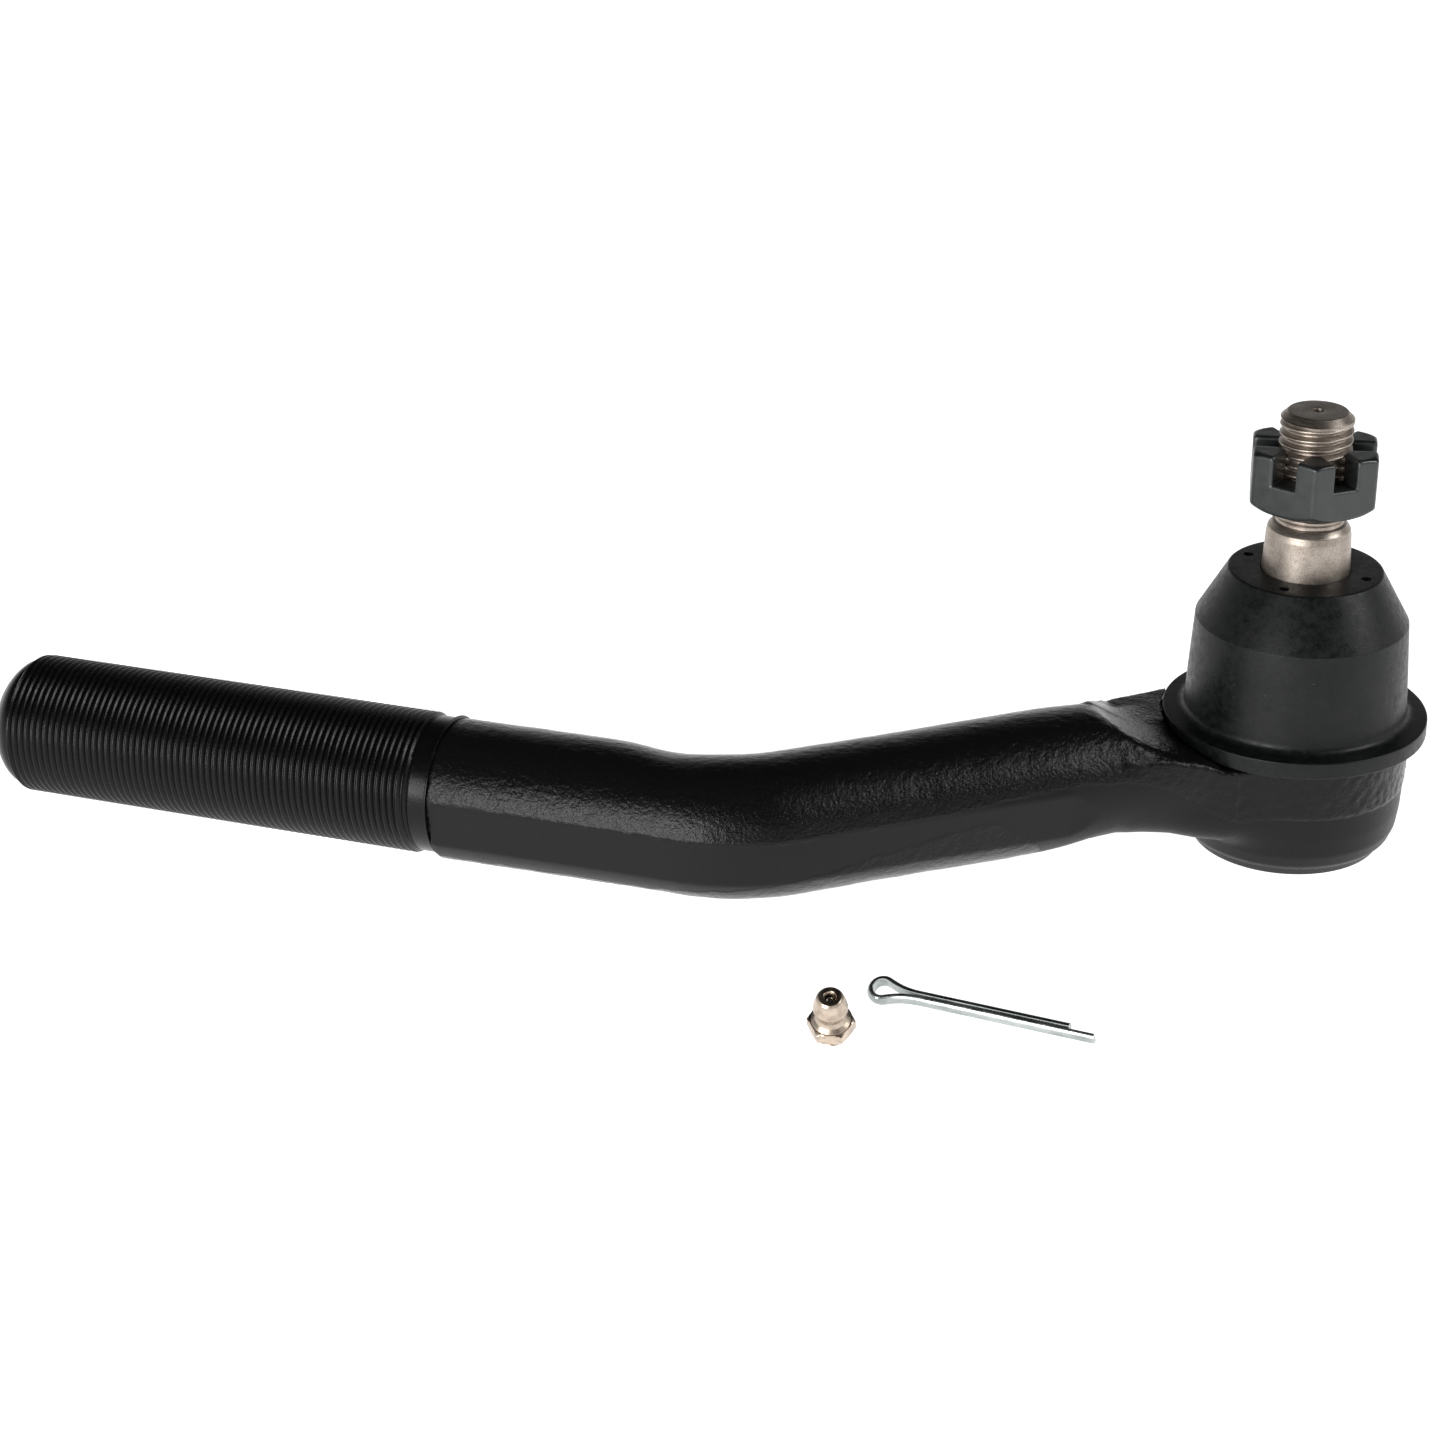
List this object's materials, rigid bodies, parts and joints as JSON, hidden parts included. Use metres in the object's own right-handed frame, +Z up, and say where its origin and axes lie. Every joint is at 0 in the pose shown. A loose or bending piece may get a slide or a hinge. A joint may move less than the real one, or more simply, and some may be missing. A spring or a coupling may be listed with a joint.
{
  "type": "tie rod end",
  "caption": "Bent steering tie rod end: threaded shank, sealed ball stud with castle nut, and a loose grease fitting and cotter pin.",
  "frame": {"origin": "on the ball stud's axis at the underside of the socket, at the grease port's mouth", "axes": "+Z up the ball stud, -X along the threaded end of the shank, the bend lies level"},
  "size_m": [0.3155, 0.1599, 0.104],
  "materials": {
    "black_paint": "gloss black paint over a forging",
    "bearing_steel": "hardened and greased",
    "spring_steel": "oiled",
    "black_plate": "satin black",
    "boot_rubber": "matt",
    "plated_steel": "plated",
    "stud_steel": "ground, oiled",
    "black_oxide": "black oxide",
    "nickel": "bright plate",
    "zinc": "zinc plate"
  },
  "bodies": {
    "housing": {"forged_housing": "black_paint", "upper_bearing": "bearing_steel", "cover_plate": "black_plate", "preload_spring": "spring_steel"},
    "lower_seat": {"lower_bearing_seat": "bearing_steel"},
    "boot_base": {"dust_boot": "boot_rubber", "boot_base_ring": "plated_steel"},
    "boot_neck": {"boot_neck_ring": "plated_steel"},
    "stud": {"ball_stud": "stud_steel"},
    "nut": {"castle_nut": "black_oxide"},
    "grease_fitting": {"grease_fitting_body": "nickel", "grease_fitting_spring": "spring_steel"},
    "check_ball": {"grease_fitting_ball": "bearing_steel"},
    "cotter_pin_body": {"cotter_pin": "zinc"}
  },
  "joints": [
    {"name": "tilt_direction", "type": "hinge", "parent": "housing", "child": "boot_base", "pos_m": [0, 0, 0.0215], "axis": [0, 0, 1], "continuous": true},
    {"name": "stud_tilt", "type": "hinge", "parent": "boot_base", "child": "boot_neck", "pos_m": [0, 0, 0.0215], "axis": [0, 1, 0], "range_deg": [-20, 20], "deforming": ["dust_boot"]},
    {"name": "stud_spin", "type": "hinge", "parent": "boot_neck", "child": "stud", "pos_m": [0, 0, 0.0215], "axis": [0, 0, 1], "continuous": true},
    {"name": "nut_turn", "type": "hinge", "parent": "stud", "child": "nut", "pos_m": [0, 0, 0.08875], "axis": [0, 0, 1], "continuous": true},
    {"name": "seat_float", "type": "slide", "parent": "housing", "child": "lower_seat", "axis": [0, 0, 1], "range_m": [-0.0004, 0], "stiffness_N_per_m": 20000, "springref_m": 0.0005, "deforming": ["preload_spring"]},
    {"name": "fitting_lift", "type": "slide", "parent": "housing", "child": "grease_fitting", "axis": [0, 0, 1], "range_m": [0, 0.05]},
    {"name": "check_ball_travel", "type": "slide", "parent": "grease_fitting", "child": "check_ball", "axis": [-0.0812, 0.3822, -0.9205], "range_m": [0, 0.0008], "stiffness_N_per_m": 200, "springref_m": -0.001, "deforming": ["grease_fitting_spring"]},
    {"name": "pin_lift", "type": "slide", "parent": "housing", "child": "cotter_pin_body", "axis": [0, 0, 1], "range_m": [0, 0.05]}
  ]
}
